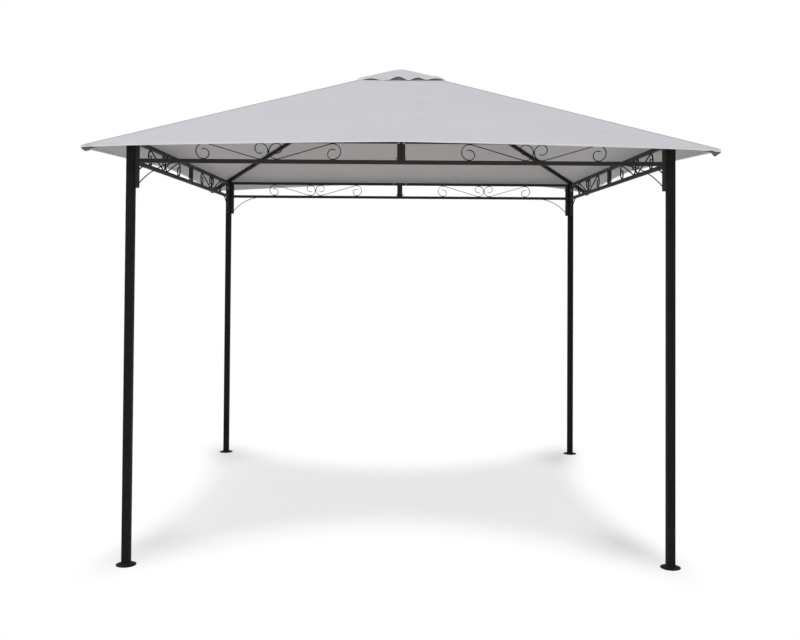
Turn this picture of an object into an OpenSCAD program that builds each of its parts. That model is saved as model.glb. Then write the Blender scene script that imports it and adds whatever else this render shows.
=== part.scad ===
// Garden gazebo: four square posts, eight half trusses with scrollwork, four hip rafters
// and a pyramid canopy with a vent cap. The origin is on the ground, midway between the posts.

/* [Posts] */
// Distance between neighbouring post axes
post_spacing = 2670; // [2200:10:3400]
// Outside width of the square post tube
post_w = 40; // [30:1:50]
// Wall of the post tube
post_wall = 1.5; // [1:0.1:3]
// Outside corner radius of the post tube
post_corner_r = 3; // [1:0.5:6]

/* [Feet] */
// How far a round foot plate reaches past the corners of its post
foot_margin = 21; // [18:0.5:50]
// Thickness of a foot plate at its rim
foot_rim_t = 2.5; // [1.5:0.1:5]
// How far the seat under the post rises above the rim
foot_rise = 3; // [1:0.5:8]
// Ground peg holes in each foot plate
peg_holes = 4; // [3:1:6]
// Diameter of a ground peg hole
peg_hole_d = 9; // [6:0.5:12]

/* [Trusses] */
// Height of the top of the trusses above the ground
truss_top = 2097; // [1900:1:2500]
// Clear height between the two rails of a truss
truss_clear = 83; // [70:1:160]
// Outside width of the square rail and stile tubes
rail_w = 20; // [15:1:25]
// How far the stile beside a post runs on below the bottom rail
stile_drop = 122; // [110:1:300]

/* [Scrollwork and braces] */
// Thickness of the bent flat bar
bar_t = 4; // [3:0.5:6]
// Depth of the bent flat bar
bar_w = 7; // [5:1:15]
// Length of the ornament in one half truss
scroll_len = 720; // [500:10:1000]
// Middle radius of the small curl at each end of a scroll
curl_r = 25; // [16:1:30]
// How far a small curl turns on past a half circle, in degrees
curl_hook = 28; // [0:1:90]
// Gap between the two scrolls of an ornament, filled by their weld
scroll_gap = 1; // [0.5:0.1:4]
// Height of the weld between the two scrolls
scroll_weld_h = 12; // [6:1:20]
// How far the drawn stretches of a scroll are let into its round ends
scroll_lap = 1; // [0.5:0.1:2]
// How much the drawn stretches are thinned on each face
scroll_draw = 0.1; // [0.05:0.05:0.3]
// How far a corner brace reaches along the bottom rail
brace_reach = 160; // [110:1:260]
// How far a corner brace drops down the stile
brace_drop = 98; // [60:1:105]
// How many times flatter a corner brace is bent than an arc that would end along the rail
brace_flat = 1.6; // [1:0.1:3]

/* [Roof frame] */
// Slope of the canopy panels, in degrees
roof_pitch = 24; // [18:0.5:30]
// Outside width of the square rafter tube
rafter_w = 20; // [16:1:24]
// Wall of the rafter tube
rafter_wall = 1.2; // [0.8:0.1:3]
// Thickness of the cap plate on a post
cap_plate_t = 3; // [2:0.5:6]
// Thickness of the cheeks beside a rafter
cheek_t = 2.5; // [2:0.5:4]
// Height of the cheeks beside a rafter
cheek_h = 14; // [8:1:18]
// Diameter of the core of the crown hub
hub_d = 40; // [36:1:70]
// How far the core hangs below its sockets
hub_tail = 8; // [2:1:30]
// Wall of the crown sockets
socket_wall = 2; // [1.5:0.1:4]
// How far a rafter slides into its socket
socket_l = 62; // [40:1:120]
// Diameter of the domed disc under the cap
dome_d = 90; // [70:1:130]
// Thickness of the domed disc
dome_t = 3; // [2:0.5:5]

/* [Canopy] */
// How far the canopy tips reach past the post axes, along each side
canopy_overhang = 185; // [140:5:400]
// Thickness of the canopy and cap cloth, with its hems
cloth_t = 2.5; // [1.5:0.1:4]
// How far the middle of an eave is drawn in
eave_dip = 65; // [20:1:80]
// Drop of the eave hem at the tips
hem_tip = 34; // [32:1:60]
// Drop of the eave hem at the middle of a side
hem_mid = 6; // [4:1:30]
// How far the rafters stop short of the canopy tips
rafter_setback = 24; // [22:1:40]
// How far a sewn corner pocket reaches in from its tip
pocket_l = 70; // [50:1:120]
// Width of the square vent at the top of the canopy
vent_w = 320; // [240:10:440]
// Width of the vent cap
cap_w = 530; // [480:10:700]
// Height of the vent gap between the canopy and the cap
cap_lift = 10; // [8:0.5:20]
// Arched gaps along each side of the cap
cap_arches = 4; // [3:1:6]
// Width of the hem left standing beside each arched gap
cap_land = 25; // [15:1:40]
// Height of the hem left over the arched gaps
cap_band = 2; // [1:0.5:4]

/* [Clearances] */
// Sliding and sewing clearance
fit = 0.3; // [0.1:0.05:0.5]
// Room between a rafter and the stile tops that it passes over
rafter_clear = 2; // [1:0.5:5]

/* [Hidden] */
$fn = 64;
half_span = post_spacing / 2;
half_eave = half_span + canopy_overhang;
canopy_w = 2 * half_eave;
panel_l = half_span - post_w / 2;
rail_under = truss_top - 2 * rail_w - truss_clear;
foot_r = post_w / sqrt(2) + foot_margin;
foot_seat = foot_rim_t + foot_rise;

// The hips run along the plan diagonals, so they are flatter than the panels.
slope = tan(roof_pitch);
hip_slope = slope / sqrt(2);
hip_pitch = atan(hip_slope);
// Height of the rafter underside over a post axis: it clears the corner of the stile tops.
rafter_under = truss_top + rafter_clear - slope * (post_w / 2 - rafter_w / sqrt(8));
// Height at which the rafter tops would meet on the roof axis
hip_z = rafter_under + rafter_w / cos(hip_pitch) + slope * half_span;
// The panels pass just over the top edges of the rafters.
cloth_apex = hip_z + slope * rafter_w / sqrt(8) + fit;
cloth_rise = cloth_t / cos(roof_pitch);
hub_top = hip_z + (fit + socket_wall) / cos(hip_pitch);
hub_r = hub_d / 2;
rafter_start = (hub_r + fit + rafter_w * sin(hip_pitch)) / cos(hip_pitch);
rafter_end = (sqrt(2) * half_eave - rafter_setback) / cos(hip_pitch);
// The cap lies parallel to the canopy, with its hem on the canopy and its flat top on the crown disc.
half_cap = cap_w / 2;
cap_apex = cloth_apex + cloth_rise + cap_lift;
cap_low = cloth_apex + cloth_rise + fit - slope * (half_cap - cloth_t);
cap_flat_z = hub_top + dome_t + fit;
// The rim of the disc stays just under the cap.
dome_r = dome_d / 2;
dome_rise = hub_top + dome_t - (cap_apex - slope * dome_r - 2 * fit);

eave_steps = 24;
// Larger than the whole gazebo, for prisms that only trim
reach = 2 * canopy_w;

corner_names = ["front_left", "front_right", "back_right", "back_left"];
half_names = [
    "front_left", "front_right", "right_front", "right_back",
    "back_right", "back_left", "left_back", "left_front"
];
side_names = ["front", "right", "back", "left"];

steel_black = "#2b2b2a";
cloth_grey = "#cbcad0";
pocket_grey = "#8f8d8d";

function along_eave(i) = half_eave * (2 * i / eave_steps - 1);
function eave_x(y) = half_eave - eave_dip * (1 - pow(y / half_eave, 2));
function cloth_under(x) = cloth_apex - slope * x;
function hem_drop(y) = hem_mid + (hem_tip - hem_mid) * pow(y / half_eave, 2);

// Places a shape made on the front left post axis.
module at_corner(k) {
    rotate([0, 0, 90 * k])
        translate([-half_span, -half_span, 0])
            children();
}

// Local X runs down the hip of corner k, in the plane of the rafter's top face.
module on_hip(k) {
    rotate([0, 0, 225 + 90 * k])
        translate([0, 0, hip_z])
            rotate([0, hip_pitch, 0])
                children();
}

// Local X runs from the face of the post to the middle of the side, Y is the truss's middle plane.
module at_half(k) {
    rotate([0, 0, 90 * floor(k / 2)])
        mirror([k % 2, 0, 0])
            translate([-panel_l, -half_span, 0])
                children();
}

module post_outline() {
    inner_w = post_w - 2 * post_corner_r;
    square([post_w, inner_w], center = true);
    square([inner_w, post_w], center = true);
    for (x = [-1, 1], y = [-1, 1])
        translate([x, y] * inner_w / 2)
            circle(post_corner_r);
}

// Tube closed by a cap plate along the hip, with two cheeks that hold the rafter.
module post(k) {
    bore_w = post_w - 2 * post_wall;
    color(steel_black) {
        difference() {
            at_corner(k)
                translate([0, 0, foot_seat])
                    linear_extrude(truss_top)
                        post_outline();
            above_hip(k, rafter_w);
            difference() {
                at_corner(k)
                    linear_extrude(reach)
                        square(bore_w, center = true);
                above_hip(k, rafter_w + cap_plate_t);
            }
        }
        intersection() {
            at_corner(k)
                linear_extrude(reach)
                    post_outline();
            on_hip(k)
                rafter_cheeks();
        }
    }
}

// All that lies less than the given depth below the plane of the rafter tops.
module above_hip(k, depth) {
    on_hip(k)
        translate([0, -post_w, -depth])
            cube([reach, 2 * post_w, reach]);
}

module rafter_cheeks() {
    for (side = [0, 1])
        mirror([0, side, 0])
            translate([0, rafter_w / 2 + fit, -rafter_w - cap_plate_t / 2])
                cube([reach, cheek_t, cap_plate_t / 2 + cheek_h]);
}

// Pressed round plate that rises to a flat seat, with holes for ground pegs.
module foot_plate(k) {
    seat_r = post_w / sqrt(2);
    color(steel_black)
        at_corner(k)
            difference() {
                rotate_extrude()
                    polygon([
                        [0, 0], [foot_r, 0], [foot_r, foot_rim_t],
                        [seat_r, foot_seat], [0, foot_seat]
                    ]);
                for (i = [0 : peg_holes - 1])
                    rotate([0, 0, 360 * i / peg_holes])
                        translate([seat_r + foot_margin / 2, 0, -1])
                            cylinder(d = peg_hole_d, h = foot_seat + 2);
            }
}

module hip_rafter(k) {
    bore_w = rafter_w - 2 * rafter_wall;
    color(steel_black)
        on_hip(k)
            translate([rafter_start, 0, -rafter_w / 2])
                difference() {
                    translate([0, -rafter_w / 2, -rafter_w / 2])
                        cube([rafter_end - rafter_start, rafter_w, rafter_w]);
                    translate([-1, -bore_w / 2, -bore_w / 2])
                        cube([reach, bore_w, bore_w]);
                }
}

// Two rails welded between a long stile at the post and a short stile at the middle of the side.
module truss(k) {
    color(steel_black)
        at_half(k)
            translate([0, -rail_w / 2, 0]) {
                for (z = [rail_under, truss_top - rail_w])
                    translate([0, 0, z])
                        cube([panel_l, rail_w, rail_w]);
                translate([0, 0, rail_under - stile_drop])
                    cube([rail_w, rail_w, truss_top - rail_under + stile_drop]);
                translate([panel_l - rail_w, 0, rail_under])
                    cube([rail_w, rail_w, truss_top - rail_under]);
            }
}

// Flat bar bent round a centre in the plane of the truss, from one angle to another,
// and thinned by the given amount on each face.
module bent_bar(x, z, r, from, to, thin = 0) {
    t = bar_t - 2 * thin;
    w = bar_w - 2 * thin;
    translate([x, 0, z])
        rotate([90, 0, 0])
            rotate([0, 0, from])
                rotate_extrude(angle = to - from, $fn = 160)
                    translate([r - t / 2, -w / 2])
                        square([t, w]);
}

// One S of flat bar: two equal round ends joined by their slanting common tangent,
// each end closing in a smaller curl. Z is measured from the middle of the truss.
module s_scroll() {
    end_r = (truss_clear - bar_t) / 2 - fit;
    near_x = (scroll_gap + bar_t) / 2 + end_r;
    far_x = (scroll_len - bar_t) / 2 - end_r;
    tilt = asin(2 * end_r / (far_x - near_x));
    tangent_l = (far_x - near_x) * cos(tilt);
    lap_turn = scroll_lap / curl_r * 180 / PI;
    drawn_t = bar_t - 2 * scroll_draw;
    drawn_w = bar_w - 2 * scroll_draw;
    bent_bar(near_x, 0, end_r, 90, 270 + tilt);
    bent_bar(far_x, 0, end_r, -90, 90 + tilt);
    bent_bar(near_x, end_r - curl_r, curl_r, -90 - curl_hook, 90 + lap_turn, scroll_draw);
    bent_bar(far_x, curl_r - end_r, curl_r, 90 - curl_hook, 270 + lap_turn, scroll_draw);
    translate([(near_x + far_x) / 2, 0, 0])
        rotate([0, -tilt, 0])
            cube([tangent_l + 2 * scroll_lap, drawn_w, drawn_t], center = true);
}

module scrollwork(k) {
    color(steel_black)
        at_half(k)
            translate([panel_l / 2, 0, rail_under + rail_w + truss_clear / 2]) {
                for (side = [0, 1])
                    mirror([side, 0, 0])
                        s_scroll();
                cube([scroll_gap + bar_t, bar_w - bar_t / 2, scroll_weld_h], center = true);
            }
}

// Arc of flat bar from the stile up to the bottom rail, cut flush with both.
module corner_brace(k) {
    chord = sqrt(pow(brace_reach, 2) + pow(brace_drop, 2));
    outer_r = brace_flat * pow(chord, 2) / (2 * brace_drop);
    lean = sqrt(pow(outer_r / chord, 2) - 1 / 4);
    centre_x = rail_w + brace_reach / 2 + lean * brace_drop;
    centre_z = rail_under - brace_drop / 2 - lean * brace_reach;
    color(steel_black)
        at_half(k)
            intersection() {
                bent_bar(centre_x, centre_z, outer_r - bar_t / 2, 90, 180);
                translate([rail_w, -bar_w, rail_under - outer_r])
                    cube([outer_r, 2 * bar_w, outer_r]);
            }
}

// Core with four square sockets that take the upper ends of the rafters.
module crown_hub() {
    socket_w = rafter_w + 2 * (fit + socket_wall);
    bore_w = rafter_w + 2 * fit;
    core_low = hip_z - (rafter_w + fit + socket_wall) / cos(hip_pitch) - hub_r * hip_slope - hub_tail;
    color(steel_black)
        difference() {
            union() {
                translate([0, 0, core_low])
                    cylinder(r = hub_r, h = hub_top - core_low);
                for (k = [0 : 3])
                    on_hip(k)
                        translate([hub_r / 2, -socket_w / 2, -socket_w + fit + socket_wall])
                            cube([rafter_start + socket_l - hub_r / 2, socket_w, socket_w]);
            }
            for (k = [0 : 3])
                on_hip(k)
                    translate([rafter_start, -bore_w / 2, fit - bore_w])
                        cube([reach, bore_w, bore_w]);
        }
}

// Domed disc that spreads the top of the vent cap, with a flat seat on the hub.
module crown_disc() {
    ball_r = (pow(dome_r, 2) + pow(dome_rise, 2)) / (2 * dome_rise);
    color(steel_black)
        translate([0, 0, hub_top])
            intersection() {
                difference() {
                    translate([0, 0, dome_t - ball_r])
                        sphere(ball_r, $fn = 256);
                    translate([0, 0, -ball_r])
                        sphere(ball_r, $fn = 256);
                    translate([0, 0, -dome_rise])
                        cylinder(r = hub_r + fit, h = dome_rise);
                }
                translate([0, 0, -dome_rise])
                    cylinder(d = dome_d, h = dome_rise + dome_t);
            }
}

// Plan of the panel on the +X side: mitred at the hips, with its eave drawn in.
function panel_plan() = concat(
    [[vent_w / 2, vent_w / 2], [vent_w / 2, -vent_w / 2]],
    [for (i = [0 : eave_steps]) [eave_x(along_eave(i)), along_eave(i)]]
);

module canopy(k) {
    color(cloth_grey)
        rotate([0, 0, 90 * (k - 1)])
            intersection() {
                linear_extrude(reach)
                    polygon(panel_plan());
                union() {
                    rotate([90, 0, 0])
                        linear_extrude(canopy_w, center = true)
                            polygon([
                                [0, cloth_apex], [half_eave, cloth_under(half_eave)],
                                [half_eave, cloth_under(half_eave) + cloth_rise],
                                [0, cloth_apex + cloth_rise]
                            ]);
                    eave_hem();
                }
            }
}

// Hem that hangs from the eave, deeper towards the tips.
module eave_hem() {
    there = [for (i = [0 : eave_steps]) along_eave(i)];
    back = [for (i = [0 : eave_steps]) along_eave(eave_steps - i)];
    intersection() {
        linear_extrude(reach)
            polygon(concat(
                [for (y = there) [eave_x(y), y]],
                [for (y = back) [eave_x(y) - cloth_t, y]]
            ));
        rotate([90, 0, 90])
            linear_extrude(reach)
                polygon(concat(
                    [for (y = there) [y, cloth_under(eave_x(y)) - hem_drop(y)]],
                    [for (y = back) [y, cloth_under(eave_x(y)) + cloth_rise / 2]]
                ));
    }
}

// Four sewn panels that make a pyramid with a flat top, and a hem that stands on the canopy in arches.
module vent_cap() {
    color(cloth_grey)
        difference() {
            cap_pyramid(half_cap, cloth_rise, cap_flat_z + cloth_t, cap_low);
            cap_pyramid(half_cap - cloth_t, 0, cap_flat_z, cap_low - cloth_t);
            for (k = [0 : 3])
                rotate([0, 0, 90 * k])
                    cap_arch_row();
            for (turn = [45, 135])
                rotate([0, 0, turn])
                    translate([-cap_w, -fit / 2, cap_low - cloth_t])
                        cube([2 * cap_w, fit, cap_apex]);
        }
}

// Solid pyramid with upright sides, raised above the cap's underside and cut off level at top_z.
module cap_pyramid(half_w, raise, top_z, low_z) {
    side_z = cap_apex + raise - slope * half_w;
    half_flat = (cap_apex + raise - top_z) / slope;
    intersection_for (turn = [0, 90])
        rotate([90, 0, turn])
            linear_extrude(2 * half_w, center = true)
                polygon([
                    [-half_w, low_z], [half_w, low_z], [half_w, side_z],
                    [half_flat, top_z], [-half_flat, top_z], [-half_w, side_z]
                ]);
}

// Arched gaps through the hem on the +X side.
module cap_arch_row() {
    arch_w = (cap_w - cap_land) / cap_arches - cap_land;
    arch_h = cap_apex - slope * half_cap - cap_band - cap_low;
    arch_r = (pow(arch_w / 2, 2) + pow(arch_h, 2)) / (2 * arch_h);
    for (i = [0 : cap_arches - 1])
        translate([half_cap, (i - (cap_arches - 1) / 2) * (arch_w + cap_land), cap_low + arch_h - arch_r])
            rotate([0, 90, 0])
                cylinder(r = arch_r, h = 4 * cloth_t, center = true, $fn = 256);
}

// Sewn floors that close the canopy tips under the rafter ends.
module corner_pockets() {
    tip = half_eave - cloth_t - fit;
    color(pocket_grey)
        for (k = [0 : 3])
            intersection() {
                on_hip(k)
                    translate([0, -pocket_l, -rafter_w - fit - cloth_t])
                        cube([reach, 2 * pocket_l, cloth_t]);
                rotate([0, 0, 180 + 90 * k])
                    linear_extrude(reach)
                        pocket_plan(tip);
            }
}

// Corner of the canopy in plan, inside its hems.
module pocket_plan(tip) {
    leg = pocket_l * sqrt(2);
    lean = leg * 2 * eave_dip / half_eave;
    polygon([[tip, tip], [tip - leg, tip - lean], [tip - lean, tip - leg]]);
}

for (k = [0 : 3]) {
    post(k);
    foot_plate(k);
    hip_rafter(k);
    canopy(k);
}
for (k = [0 : 7]) {
    truss(k);
    scrollwork(k);
    corner_brace(k);
}
crown_hub();
crown_disc();
vent_cap();
corner_pockets();
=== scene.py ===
import math

import bpy
import numpy as np
from mathutils import Matrix, Vector, noise


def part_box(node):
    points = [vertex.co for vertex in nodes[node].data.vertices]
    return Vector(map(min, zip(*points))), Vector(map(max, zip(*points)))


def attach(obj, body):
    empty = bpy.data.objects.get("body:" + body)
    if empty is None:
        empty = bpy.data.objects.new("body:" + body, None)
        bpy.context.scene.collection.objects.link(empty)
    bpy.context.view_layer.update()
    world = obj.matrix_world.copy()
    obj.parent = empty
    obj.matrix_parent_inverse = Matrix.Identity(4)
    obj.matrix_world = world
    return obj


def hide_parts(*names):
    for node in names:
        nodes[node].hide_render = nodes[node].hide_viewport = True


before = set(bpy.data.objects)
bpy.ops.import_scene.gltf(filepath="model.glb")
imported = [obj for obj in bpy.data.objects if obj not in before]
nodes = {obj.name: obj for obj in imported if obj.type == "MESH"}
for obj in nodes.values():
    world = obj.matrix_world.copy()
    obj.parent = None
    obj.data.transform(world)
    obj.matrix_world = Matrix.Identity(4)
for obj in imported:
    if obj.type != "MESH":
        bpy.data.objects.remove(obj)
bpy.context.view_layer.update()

# sizes of the gazebo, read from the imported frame
postLow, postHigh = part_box("post_front_left")
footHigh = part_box("foot_plate_front_left")[1]
trussLow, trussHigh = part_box("truss_front_left")
scrollLow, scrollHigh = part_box("scrollwork_front_left")
braceLow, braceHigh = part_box("corner_brace_front_left")
panelLow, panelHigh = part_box("canopy_right")
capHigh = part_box("vent_cap")[1]

postW = postHigh.x - postLow.x
halfSpan = -(postLow.x + postHigh.x) / 2
railW = trussHigh.y - trussLow.y
trussTop = trussHigh.z
stileFoot = trussLow.z
ventHalf = panelLow.x
halfEave = panelHigh.x
halfCap = capHigh.x
corners = ["front_left", "front_right", "back_right", "back_left"]
sides = ["front", "right", "back", "left"]
hair = 1e-4      # lengths below this count as none
facing = 0.9     # the share of a normal along an axis that counts as facing it
print("frame read:", len(nodes), "nodes, eave", round(2 * halfEave, 3), "m")


# small helpers for working as in the viewport

def openMesh():
    # edit mode with everything selected
    bpy.ops.object.mode_set(mode="EDIT")
    bpy.ops.mesh.select_all(action="SELECT")


def closeMesh():
    bpy.ops.object.mode_set(mode="OBJECT")


def dropSelection():
    if bpy.context.object and bpy.context.object.mode != "OBJECT":
        closeMesh()
    bpy.ops.object.select_all(action="DESELECT")


def pickUp(piece):
    dropSelection()
    piece.select_set(True)
    bpy.context.view_layer.objects.active = piece


def selectParts(piece, kind, test):
    # leaves the piece in edit mode with the parts that pass the test selected
    closeMesh()
    mesh = piece.data
    for parts in (mesh.vertices, mesh.edges, mesh.polygons):
        parts.foreach_set("select", [False] * len(parts))
    chosen = {"VERT": mesh.vertices, "EDGE": mesh.edges, "FACE": mesh.polygons}[kind]
    for part in chosen:
        part.select = bool(test(part))
    bpy.context.tool_settings.mesh_select_mode = (kind == "VERT", kind == "EDGE", kind == "FACE")
    bpy.ops.object.mode_set(mode="EDIT")


def applyModifiers(piece):
    pickUp(piece)
    for step in list(piece.modifiers):
        bpy.ops.object.modifier_apply(modifier=step.name)


def dress(piece, finish, lining=None):
    piece.data.materials.append(finish)
    if lining:
        piece.data.materials.append(lining)


def thicken(piece, thickness, offset=-1, inside=0):
    step = piece.modifiers.new("thickness", "SOLIDIFY")
    step.thickness = thickness
    step.offset = offset
    step.use_even_offset = True
    step.material_offset = inside


def outwards(piece, merge=1e-6):
    pickUp(piece)
    openMesh()
    bpy.ops.mesh.remove_doubles(threshold=merge)
    bpy.ops.mesh.normals_make_consistent(inside=False)
    closeMesh()


def smoothBy(piece, degrees):
    pickUp(piece)
    bpy.ops.object.shade_smooth_by_angle(angle=math.radians(degrees))


def fasten(piece, name):
    # name and body of a finished piece
    piece.name = name
    piece.data.name = name
    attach(piece, "root")
    return piece


def addObject(name, data):
    added = bpy.data.objects.new(name, data)
    bpy.context.scene.collection.objects.link(added)
    return added


def meshPiece(name, points, faces):
    mesh = bpy.data.meshes.new(name)
    mesh.from_pydata(points, [], faces)
    return addObject(name, mesh)


def stripFaces(rows, count):
    # quads between rows of points that are open at their ends
    faces = []
    for row in range(rows):
        for step in range(count - 1):
            first = row * count + step
            below = first + count
            faces.append((first, below, below + 1, first + 1))
    return faces


def bandFaces(rows, count):
    # quads between rows of points that close on themselves
    faces = []
    for row in range(rows):
        for step in range(count):
            following = (step + 1) % count
            faces.append((row * count + step, row * count + following,
                          (row + 1) * count + following, (row + 1) * count + step))
    return faces


def copiesOf(seed, places, name):
    # one joined mesh with a copy of the seed at every place
    mesh = seed.data
    points = np.empty(len(mesh.vertices) * 3)
    mesh.vertices.foreach_get("co", points)
    points = np.c_[points.reshape(-1, 3), np.ones(len(mesh.vertices))]
    faces = [tuple(face.vertices) for face in mesh.polygons]
    allPoints = np.concatenate([(points @ np.array(place).T)[:, :3] for place in places])
    allFaces = []
    for turn in range(len(places)):
        first = turn * len(points)
        allFaces += [tuple(first + corner for corner in face) for face in faces]
    piece = meshPiece(name, allPoints.tolist(), allFaces)
    bpy.data.objects.remove(seed)
    return piece


def setCopies(seed, places, name, finish, degrees):
    piece = copiesOf(seed, places, name)
    dress(piece, finish)
    smoothBy(piece, degrees)
    return fasten(piece, name)


def pointing(place, along, across=Vector((0, 0, 1))):
    # a matrix whose Z runs along the given direction
    z = Vector(along).normalized()
    x = Vector(across).cross(z)
    x = x.normalized() if x.length > hair else Vector((1, 0, 0))
    y = z.cross(x)
    turn = Matrix((x, y, z)).transposed().to_4x4()
    return Matrix.Translation(place) @ turn


def turned(point, side):
    # from the front side to another side of the gazebo
    return Matrix.Rotation(math.pi / 2 * side, 3, "Z") @ Vector(point)


def aimed(place, along, side):
    # as pointing, for a place and a direction that are given for the front side
    return pointing(turned(place, side), turned(along, side))


def lyingAt(place, side):
    # a matrix that turns with the side
    return Matrix.Translation(turned(place, side)) @ Matrix.Rotation(math.pi / 2 * side, 4, "Z")


# node helpers

def addNode(tree, kind, values=None, **settings):
    node = tree.nodes.new(kind)
    for key, value in settings.items():
        setattr(node, key, value)
    for key, value in (values or {}).items():
        node.inputs[key].default_value = value
    return node


def wire(tree, source, target):
    tree.links.new(source, target)


def feed(tree, value, socket):
    # a socket takes a link or a plain value
    if isinstance(value, bpy.types.NodeSocket):
        wire(tree, value, socket)
    else:
        socket.default_value = value


def mathNode(tree, operation, first, second=None, clamp=False):
    node = addNode(tree, "ShaderNodeMath", operation=operation, use_clamp=clamp)
    feed(tree, first, node.inputs[0])
    if second is not None:
        feed(tree, second, node.inputs[1])
    return node.outputs[0]


def noiseNode(tree, vector, scale, detail=2.0, roughness=0.5):
    node = addNode(tree, "ShaderNodeTexNoise", {"Scale": scale, "Detail": detail, "Roughness": roughness})
    wire(tree, vector, node.inputs["Vector"])
    return node.outputs["Fac"]


def spread(tree, value, low, high, toLow=0.0, toHigh=1.0, bend="LINEAR"):
    node = addNode(tree, "ShaderNodeMapRange", {1: low, 2: high, 3: toLow, 4: toHigh},
                   interpolation_type=bend)
    wire(tree, value, node.inputs[0])
    return node.outputs[0]


def softStep(tree, value, low, high, toLow, toHigh):
    return spread(tree, value, low, high, toLow, toHigh, "SMOOTHSTEP")


def tint(tree, share, first, second):
    node = addNode(tree, "ShaderNodeMix", data_type="RGBA")
    wire(tree, share, node.inputs[0])
    for socket, value in ((node.inputs[6], first), (node.inputs[7], second)):
        feed(tree, (*value, 1) if isinstance(value, tuple) else value, socket)
    return node.outputs[2]


def startGroup(name, inputs, outputs):
    group = bpy.data.node_groups.new(name, "ShaderNodeTree")
    for label, kind, value in inputs:
        socket = group.interface.new_socket(name=label, in_out="INPUT", socket_type=kind)
        if value is not None:
            socket.default_value = value
    for label in outputs:
        group.interface.new_socket(name=label, in_out="OUTPUT", socket_type="NodeSocketFloat")
    return group, group.nodes.new("NodeGroupInput"), group.nodes.new("NodeGroupOutput")


def useGroup(tree, group, values):
    node = tree.nodes.new("ShaderNodeGroup")
    node.node_tree = group
    for key, value in values.items():
        feed(tree, value, node.inputs[key])
    return node


def startFinish(name, roughness, specular, metallic=0.0):
    finish = bpy.data.materials.new(name)
    finish.use_nodes = True
    tree = finish.node_tree
    shader = tree.nodes["Principled BSDF"]
    shader.inputs["Roughness"].default_value = roughness
    shader.inputs["Specular IOR Level"].default_value = specular
    shader.inputs["Metallic"].default_value = metallic
    place = addNode(tree, "ShaderNodeTexCoord").outputs["Object"]
    return finish, tree, shader, place


def addBump(tree, shader, height, strength, distance):
    bump = addNode(tree, "ShaderNodeBump", {"Strength": strength, "Distance": distance})
    wire(tree, height, bump.inputs["Height"])
    wire(tree, bump.outputs["Normal"], shader.inputs["Normal"])


# powder coat: orange peel, cloudy tone and a little dust on what faces up

def makeCoatGroup():
    group, start, end = startGroup(
        "coatGrain",
        [("Place", "NodeSocketVector", None), ("Peel", "NodeSocketFloat", 520.0),
         ("Cloud", "NodeSocketFloat", 7.0)],
        ["Tone", "Height", "Dust"])
    place = start.outputs["Place"]
    peel = addNode(group, "ShaderNodeTexNoise", {"Detail": 2.0})
    cloud = addNode(group, "ShaderNodeTexNoise", {"Detail": 5.0, "Roughness": 0.62})
    for node, scale in ((peel, "Peel"), (cloud, "Cloud")):
        wire(group, place, node.inputs["Vector"])
        wire(group, start.outputs[scale], node.inputs["Scale"])
    speck = noiseNode(group, place, 1400.0, 1.0)
    normal = addNode(group, "ShaderNodeNewGeometry").outputs["Normal"]
    split = addNode(group, "ShaderNodeSeparateXYZ")
    wire(group, normal, split.inputs[0])
    upward = spread(group, split.outputs["Z"], 0.3, 1.0)
    patches = spread(group, noiseNode(group, place, 34.0, 4.0), 0.35, 0.75)
    wire(group, spread(group, cloud.outputs["Fac"], 0.3, 0.7), end.inputs["Tone"])
    grain = mathNode(group, "MULTIPLY", speck, 0.35)
    wire(group, mathNode(group, "ADD", peel.outputs["Fac"], grain), end.inputs["Height"])
    wire(group, mathNode(group, "MULTIPLY", upward, patches), end.inputs["Dust"])
    return group


coatGrain = makeCoatGroup()
coatLook = {"rough": 0.62, "roughSpread": 0.07, "peel": 0.0004, "dust": (0.11, 0.105, 0.098)}


def makeCoat(name, dark, pale, specular, dustShare, relief):
    rough = coatLook["rough"]
    finish, tree, shader, place = startFinish(name, rough, specular)
    grain = useGroup(tree, coatGrain, {"Place": place})
    body = tint(tree, grain.outputs["Tone"], dark, pale)
    dusty = mathNode(tree, "MULTIPLY", grain.outputs["Dust"], dustShare)
    wire(tree, tint(tree, dusty, body, coatLook["dust"]), shader.inputs["Base Color"])
    worn = spread(tree, grain.outputs["Tone"], 0.0, 1.0,
                  rough - coatLook["roughSpread"], rough + coatLook["roughSpread"])
    wire(tree, worn, shader.inputs["Roughness"])
    addBump(tree, shader, grain.outputs["Height"], relief, coatLook["peel"])
    return finish


# finish name, dark and pale tones, specular, dust share, relief
coat = {
    "post": makeCoat("postCoat", (0.0128, 0.0124, 0.0112), (0.0176, 0.0171, 0.0156), 0.03, 0.06, 0.16),
    # the rails' coat is the posts' powder coat made lighter: painted light from the front on the trusses and
    # hip rafters
    "rail": makeCoat("railCoatPaintedLight", (0.0270, 0.0260, 0.0238), (0.0360, 0.0346, 0.0322), 0.08, 0.08, 0.30),
    "bar": makeCoat("barCoat", (0.0090, 0.0087, 0.0079), (0.0130, 0.0125, 0.0115), 0.05, 0.08, 0.30),
}


def makeZinc():
    finish, tree, shader, place = startFinish("zincBolt", 0.38, 0.5, 1.0)
    spangle = addNode(tree, "ShaderNodeTexVoronoi", {"Scale": 420.0})
    wire(tree, place, spangle.inputs["Vector"])
    share = spread(tree, spangle.outputs["Distance"], 0.0, 0.8)
    wire(tree, tint(tree, share, (0.23, 0.235, 0.25), (0.34, 0.34, 0.35)), shader.inputs["Base Color"])
    wire(tree, spread(tree, share, 0.0, 1.0, 0.30, 0.48), shader.inputs["Roughness"])
    return finish


zincBolt = makeZinc()


def makePlugPlastic():
    finish, tree, shader, place = startFinish("plugPlastic", 0.5, 0.3)
    mottle = spread(tree, noiseNode(tree, place, 260.0, 3.0), 0.3, 0.7)
    wire(tree, tint(tree, mottle, (0.010, 0.010, 0.010), (0.018, 0.018, 0.018)), shader.inputs["Base Color"])
    addBump(tree, shader, mottle, 0.2, 0.0002)
    return finish


plugPlastic = makePlugPlastic()


# woven cloth: plain weave over Object coordinates, with slubs and slow tone changes

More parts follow.
